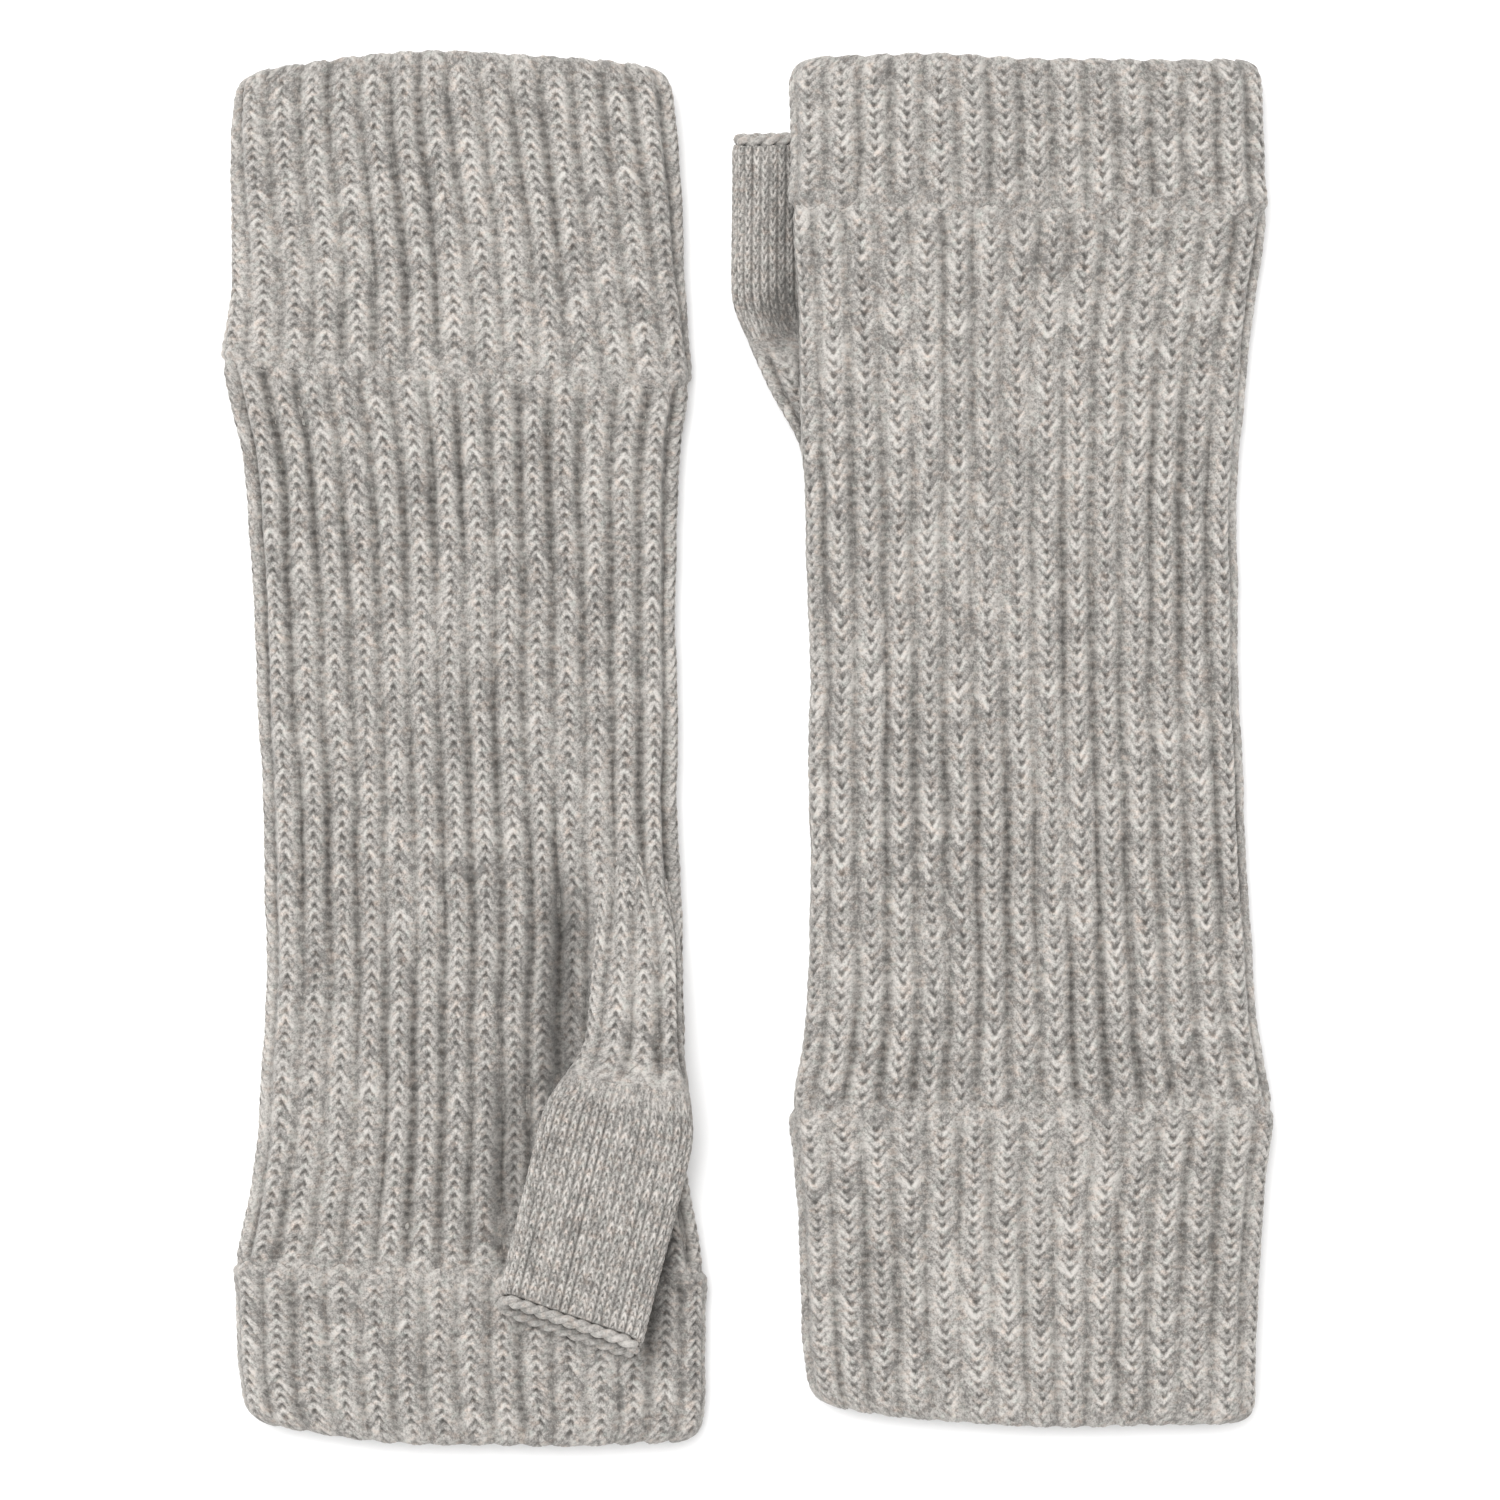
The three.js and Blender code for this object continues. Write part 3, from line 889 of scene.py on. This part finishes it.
def make_tube(glove, looks):
    """The ribbed tube of one glove, with its doubled cuff and hem."""
    side = glove.side
    calm = [(end, 0.6, 2.0) for end in (glove.cuff_end, glove.hem_start)]
    knit = {**RIB, "row": looks["row"]}
    path = single_profile(glove.cuff_end + CLEARANCE, glove.hem_start - CLEARANCE, knit, BODY_WALL)
    place = glove.tube(doubled=False)
    start, deep = looks["start"], looks["depth"]
    body = knitted_wall(f"{side}_body_knit", knit, RIBS, path, place, start, 0.0, deep, calm)
    finish_piece(body, RIBBED, "ribbed_knit", glove.node("forearm_tube"), glove.node("hand_tube"))
    paint_fold_shade(body, glove, glove.hollow)
    around = 17.0
    ends = [glove.to_world(0.0, glove.wrist + d, 0.0) * MM for d in (-around, around)]
    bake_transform(body)
    make_doubled(glove, looks, "arm_cuff", glove.cuff_end, 0.0, "forearm", looks["lean"])
    make_doubled(glove, looks, "finger_hem", glove.hem_start, glove.length, "hand", 0.0)
    return body


def make_doubled(glove, looks, name, ridge, rim, rides, lean):
    """A doubled cuff or hem: its outer layer, the one turned in, and the row that sews it down."""
    side = glove.side
    inward = math.copysign(1.0, ridge - rim)
    place = glove.tube(doubled=True)
    start = looks["start"] + 0.45
    deep = DOUBLED_DEPTH * looks["depth"]

    path = folded_profile(ridge, rim, CUFF_RIB, WALL)
    calm = [(ridge, 0.6, 2.0), (rim, 0.6, 2.6)]
    outer_name, inner_name = f"{side}_{name}_knit", f"{side}_{name}_lining_knit"
    cuff = knitted_wall(outer_name, CUFF_RIB, RIBS, path, place, start, lean, deep, calm)
    finish_piece(cuff, RIBBED, "ribbed_knit", glove.node(name))
    paint_fold_shade(cuff, glove, glove.hollow)
    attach(cuff, f"{side}_{rides}")

    after_fold = rim + inward * (TURNED_IN + CLEARANCE)
    ends = sorted((after_fold, ridge - inward * (LINK_WIDTH + 2 * CLEARANCE)))
    path = lining_profile(*ends, CUFF_RIB, WALL, WALL + CLEARANCE)
    lining = knitted_wall(inner_name, CUFF_RIB, RIBS, path, place, start, lean, LINING_DEPTH)
    finish_piece(lining, RIBBED, "ribbed_knit", glove.node(f"{name}_lining"))
    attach(lining, f"{side}_{rides}")

    sewn = ridge - inward * (LINK_WIDTH / 2 + CLEARANCE)
    deep_in, thick = 2.3, 0.7
    route = ring_route(place, sewn, deep_in, 240)
    row = twisted_cord(f"{side}_{name}_linking_row", route, thick, 3 * RIBS)
    finish_piece(row, LINKING, "linking_yarn", glove.node(f"{name}_linking"))
    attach(row, f"{side}_{rides}")


# ---- The thumb ----


class ThumbFabric:
    """The tube of fabric that runs from the gusset's start in the hand to the thumb's open end.

    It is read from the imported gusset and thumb: the middle line, half width, lowest and highest
    place and slant, by the distance along it, in the glove's own frame.
    """

    def __init__(self, glove):
        self.glove = glove
        looks = LOOKS[glove.side]
        self.lip, self.rise, self.skew = looks["lip"], looks["rise"], looks["skew"]
        self.pivot = self.local(joint_place(f"{glove.side}_thumb_swing"))
        edge = self.corners("thumb_cast_off")
        along = edge[:, :2].mean(0) - self.pivot[:2]
        self.slant = math.atan2(along[0], along[1])
        self.along = np.array([math.sin(self.slant), math.cos(self.slant)])
        tube = self.corners("thumb_tube")
        out_from_pivot = tube[:, :2] - self.pivot[:2]
        across = np.array([self.along[1], -self.along[0]])
        self.half_width = np.abs(out_from_pivot @ across).max()
        self.reach = (out_from_pivot @ self.along).max()
        self.low, self.high = tube[:, 2].min(), tube[:, 2].max()
        self.edge_width = ((edge[:, :2] - self.pivot[:2]) @ self.along).max() - self.reach
        self.read_line()

    def local(self, place):
        """World places in the glove's own frame."""
        place = np.asarray(place)
        x = (place[..., 0] - self.glove.centre_x) * self.glove.toward
        return np.stack([x, self.glove.to_s(place[..., 1]), place[..., 2]], -1)

    def corners(self, name):
        mesh = frame["nodes"][self.glove.node(name)].data
        return self.local(np.array([v.co[:] for v in mesh.vertices]) / MM)

    def gusset_rows(self):
        """Rows of the line where the gusset's sections are whole, before its end's curve."""
        glove = self.glove
        node = glove.node("thumb_gusset")
        ends = sorted(glove.to_s(end[1]) for end in box_mm(node))
        after_start, before_curve, count = 0.4, 6.0, 8
        rows = []
        for s in np.linspace(ends[0] + after_start, ends[1] - before_curve, count):
            low, high = section(node, 1, glove.to_y(s))
            left, right = glove.local_x(low, high)
            rows.append([(left + right) / 2, s, (right - left) / 2, low[2], high[2], 0.0])
        self.grow_out_of_palm(rows)
        return rows

    def grow_out_of_palm(self, rows):
        """The gusset starts sunk in the palm, clear of the hand's own rounded edge, and comes out
        of it to the thumb's height. The palm is under the left thumb and over the right one."""
        glove = self.glove
        ahead = 8.0
        rows.insert(0, [rows[0][0], rows[0][1] - ahead, *rows[0][2:]])
        first, last = rows[0][1], rows[-1][1]
        near, far = 1.2, 3.4
        narrower, wide_after = 1.8, 18
        for row in rows:
            grown = smooth_step(row[1], first - 2, last + 2)
            drawn_in = narrower * (1 - smooth_step(row[1], first, first + wide_after))
            row[0] += drawn_in
            row[2] -= drawn_in
            if glove.thumb_above:
                starts = (glove.body_height - far, glove.body_height - near)
            else:
                palm = glove.lift(row[0], row[1])
                starts = (palm + near, palm + far)
            row[3] = starts[0] + (self.low - starts[0]) * grown
            row[4] = starts[1] + (self.high - starts[1]) * grown

    def read_line(self):
        rows = self.gusset_rows()
        behind = 3.0
        for d in (-behind, 0.0, self.reach / 2, self.reach):
            middle = self.pivot[:2] + self.along * d
            up = self.rise * max(d, 0.0) / self.reach
            rows.append([*middle, self.half_width, self.low + up, self.high + up, self.slant])
        rows = np.array(rows)
        rows = np.vstack([2 * rows[0] - rows[1], rows, 2 * rows[-1] - rows[-2]])
        steps = np.linalg.norm(np.diff(rows[:, :2], axis=0), axis=1)
        gone = np.concatenate([[0], np.cumsum(steps)]) - steps[0]
        self.whole = gone[-2]
        stations, reach, spread = 160, 5, 3.0
        self.at = np.linspace(0, self.whole, stations)
        near = np.linspace(-reach, reach, 11)
        weights = np.exp(-((near / spread) ** 2))
        weights /= weights.sum()
        found = [[np.interp(self.at + d, gone, column) for column in rows.T] for d in near]
        self.line = np.tensordot(weights, np.array(found), 1)
        to_pivot = np.linalg.norm(self.line[:2].T - self.pivot[:2], axis=1)
        self.pivot_at = self.at[to_pivot.argmin()]

    def round_length(self, t):
        half, low, high = (np.interp(t, self.at, self.line[i]) for i in (2, 3, 4))
        return 2 * (2 * half - (high - low)) + math.pi * (high - low)

    def place(self, length_round):
        """place() for a wall of this fabric."""
        lip_reach = 7.0
        sideways, lengthways = 0.25, 0.3  # how unevenly the fabric is laid

        def put(share, t, inset):
            x, s, half, low, high, slant = (np.interp(t, self.at, column) for column in self.line)
            beyond = np.maximum(t - self.whole, 0)
            over, z = oval(-half, half, high - low, share, inset)
            z = z - self.dent(x + over, s) * upper_share(z, high - low)
            if not self.glove.thumb_above:
                z = settled(z)
            sway = over + sideways * wobble(t, over)
            at_end = np.exp(-(((self.whole - t) / lip_reach) ** 2))
            lip = self.lip * (0.5 - z / (high - low)) * at_end
            outer_share = 0.5 * (1 - over / half)
            skew = self.skew * outer_share * smooth_step(t, self.pivot_at, self.whole)
            uneven = lengthways * wobble(over, t) * smooth_step(t, 4, 12)
            onward = beyond + 2 * lip + skew + uneven
            x2 = x + onward * self.along[0] + sway * np.cos(slant)
            s2 = s + onward * self.along[1] - sway * np.sin(slant)
            return self.glove.to_world(x2, s2, low + z), fabric_place(share, t, length_round)

        return put

    def dent(self, x, s):
        """How far the upper layer sinks in beside the edge of the hand that lies on it."""
        sunk = np.zeros(np.shape(x))
        for (middle_x, middle_s), (across, along), deep in LOOKS[self.glove.side]["dents"]:
            off = ((x - middle_x) / across) ** 2 + ((s - middle_s) / along) ** 2
            sunk = sunk + deep * np.exp(-off)
        return sunk

    def bend(self, thing):
        """Bakes the piece's placement into its mesh; two places before and after the pivot are
        worked out but not used.
        """
        before, after = 12.0, 8.0
        for d in (-before, after):
            x, s = self.pivot[:2] + self.along * d
            tuple(self.glove.to_world(x, s, self.pivot[2]) * MM)
        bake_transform(thing)


def rib_over(glove, x, s, start):
    """The middle of the hand's rib nearest to x on its upper face."""
    left, right = glove.edge(0, s), glove.edge(1, s)
    flat = right - left - glove.body_height
    arc = math.pi * glove.body_height / 2
    pitch = 2 * (flat + arc) / RIBS
    over_start = left + glove.body_height / 2 - flat / 2 - arc
    number = round((x - over_start) / pitch - start)
    return over_start + (number + start) * pitch


def make_thumb(glove, looks):
    """The gusset in rib, the round of stitches picked up along it, and the thumb in plain knit."""
    side = glove.side
    fabric = ThumbFabric(glove)
    before_pivot = 10.0
    join = fabric.pivot_at - before_pivot

    middle, s = fabric.line[0][0], fabric.line[1][0]
    pitch = fabric.round_length(0.0) / GUSSET_RIBS
    start = (rib_over(glove, middle, s, looks["start"]) - middle) / pitch + 0.5
    round_length = float(fabric.round_length(join / 2))
    outer = even_rows([(0.0, 0.0), (join - 1.5, 0.0), (join + 0.6, 0.3)], RIB)
    inner = np.array([(t, THUMB_WALL) for t in np.linspace(join, 0.0, 10)])
    calm = [(join + 0.5, 0.95, 4.0)]
    place = fabric.place(round_length)
    path, deep = (outer, inner, 1), looks["depth"]
    name = f"{side}_thumb_gusset_knit"
    gusset = knitted_wall(name, RIB, GUSSET_RIBS, path, place, start, 0.0, deep, calm)
    finish_piece(gusset, RIBBED, "ribbed_knit", glove.node("thumb_gusset"))
    paint_fold_shade(gusset, glove, fabric.dent)
    fabric.bend(gusset)

    round_length = float(fabric.round_length(fabric.whole))
    wales = round(round_length / PLAIN_WALE)
    path = [(join - 1.5, 0.5), (join, 0.1), (join + 1.0, 0.0), (fabric.whole - 1.6, 0.0)]
    path += [(fabric.whole - 0.6, 0.1), (fabric.whole, 0.4)]
    outer = even_rows(path, PLAIN)
    inner = np.array([(t, THUMB_WALL) for t in np.linspace(fabric.whole, join, 12)])
    path = (outer, inner, 1)
    place = fabric.place(round_length)
    calm = [(join, 0.7, 4.0)]
    tube = knitted_wall(f"{side}_thumb_knit", PLAIN, wales, path, place, calm=calm)
    finish_piece(tube, PLAIN_WOOL, "plain_knit", glove.node("thumb_tube"))
    paint_fold_shade(tube, glove, fabric.dent)
    fabric.bend(tube)

    deep_in, thick = 0.75, 0.5
    route = ring_route(place, join, deep_in, 160)
    row = twisted_cord(f"{side}_thumb_pick_up_row", route, thick, wales)
    finish_piece(row, LINKING, "linking_yarn", glove.node("thumb_pick_up_round"))
    fabric.bend(row)

    thick = 1.2
    around = fabric.whole + 0.45 * fabric.edge_width
    just_inside = (CORD_SWING + CORD_PLY + 0.02) * thick
    route = ring_route(place, around, just_inside, 160)
    edge = twisted_cord(f"{side}_thumb_cast_off_edge", route, thick, wales // 4)
    finish_piece(edge, LINKING, "linking_yarn", glove.node("thumb_cast_off"))
    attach(edge, f"{side}_thumb")


# ---- The pair ----

# Each glove's own knitting: how deep its ribs are, the height of its rows, how far the ribs are
# turned round it, the slant of the cuff's ribs, the slants of its two ridges, the hollows in its
# upper layer as (middle across, reach across, first place along, last place along, depth), the
# dents in its thumb as (middle, reaches across and along, depth), how far the lower lip of the
# thumb's open end comes out past its middle, how far the hem that it lies on lifts that end, and
# how much longer the thumb is on its outer side.
LOOKS = {
    "left": {
        "depth": 1.0,
        "row": 2.2,
        "start": 0.0,
        "lean": -0.07,
        "tilts": (-0.055, 0.0),
        "hollows": (
            (-20.5, 4.6, 152.0, 210.0, 5.2),
            (-10.5, 4.2, 188.0, 234.0, 3.7),
            (-38.0, 5.5, 214.0, 258.0, 3.8),
        ),
        "dents": (),
        "lip": 2.0,
        "rise": 1.3,
        "skew": 3.0,
    },
    "right": {
        "depth": 0.86,
        "row": 2.35,
        "start": 0.3,
        "lean": 0.0,
        "tilts": (0.0, 0.0),
        "hollows": (),
        "dents": (((-46.5, 211.5), (4.2, 6.5), 4.6), ((-44.5, 229.0), (4.0, 16.0), 2.6)),
        "lip": 0.6,
        "rise": 0.0,
        "skew": 0.0,
    },
}

for glove_side, glove_looks in LOOKS.items():
    one = Glove(glove_side)
    one_body = make_tube(one, glove_looks)
    make_thumb(one, glove_looks)


# ---- Light and camera ----


def soft_box(name, place, aim, size, power):
    light = bpy.data.lights.new(name, "AREA")
    light.shape = "SQUARE"
    light.size = size
    light.energy = power
    lamp = bpy.data.objects.new(name, light)
    bpy.context.scene.collection.objects.link(lamp)
    lamp.location = place
    lamp.rotation_euler = (Vector(aim) - Vector(place)).to_track_quat("-Z", "Y").to_euler()


def make_light():
    world = bpy.data.worlds.new("studio")
    world.use_nodes = True
    background = world.node_tree.nodes["Background"]
    background.inputs["Color"].default_value = (1, 1, 1, 1)
    background.inputs["Strength"].default_value = 0.8
    bpy.context.scene.world = world
    soft_box("overhead", (-0.25, 0.35, 1.5), (0, 0, 0), 1.0, 26)


def make_camera():
    """Straight above, with a long lens, so that the frame is 285 mm wide at the gloves' height."""
    camera = bpy.data.cameras.new("camera")
    camera.lens = 120
    camera.sensor_width = 36
    camera.clip_start = 0.05
    camera.clip_end = 20
    seen, level = 0.285, 0.009
    eye = bpy.data.objects.new("camera", camera)
    bpy.context.scene.collection.objects.link(eye)
    middle = (CAD_BOX[0] + CAD_BOX[1]) / 2
    distance = seen * camera.lens / camera.sensor_width
    eye.location = (middle[0] + 0.0005, middle[1] - 0.0002, level + distance)
    eye.rotation_euler = (0, 0, 0)
    bpy.context.scene.camera = eye


make_light()
make_camera()
bpy.context.scene.view_settings.view_transform = "Standard"
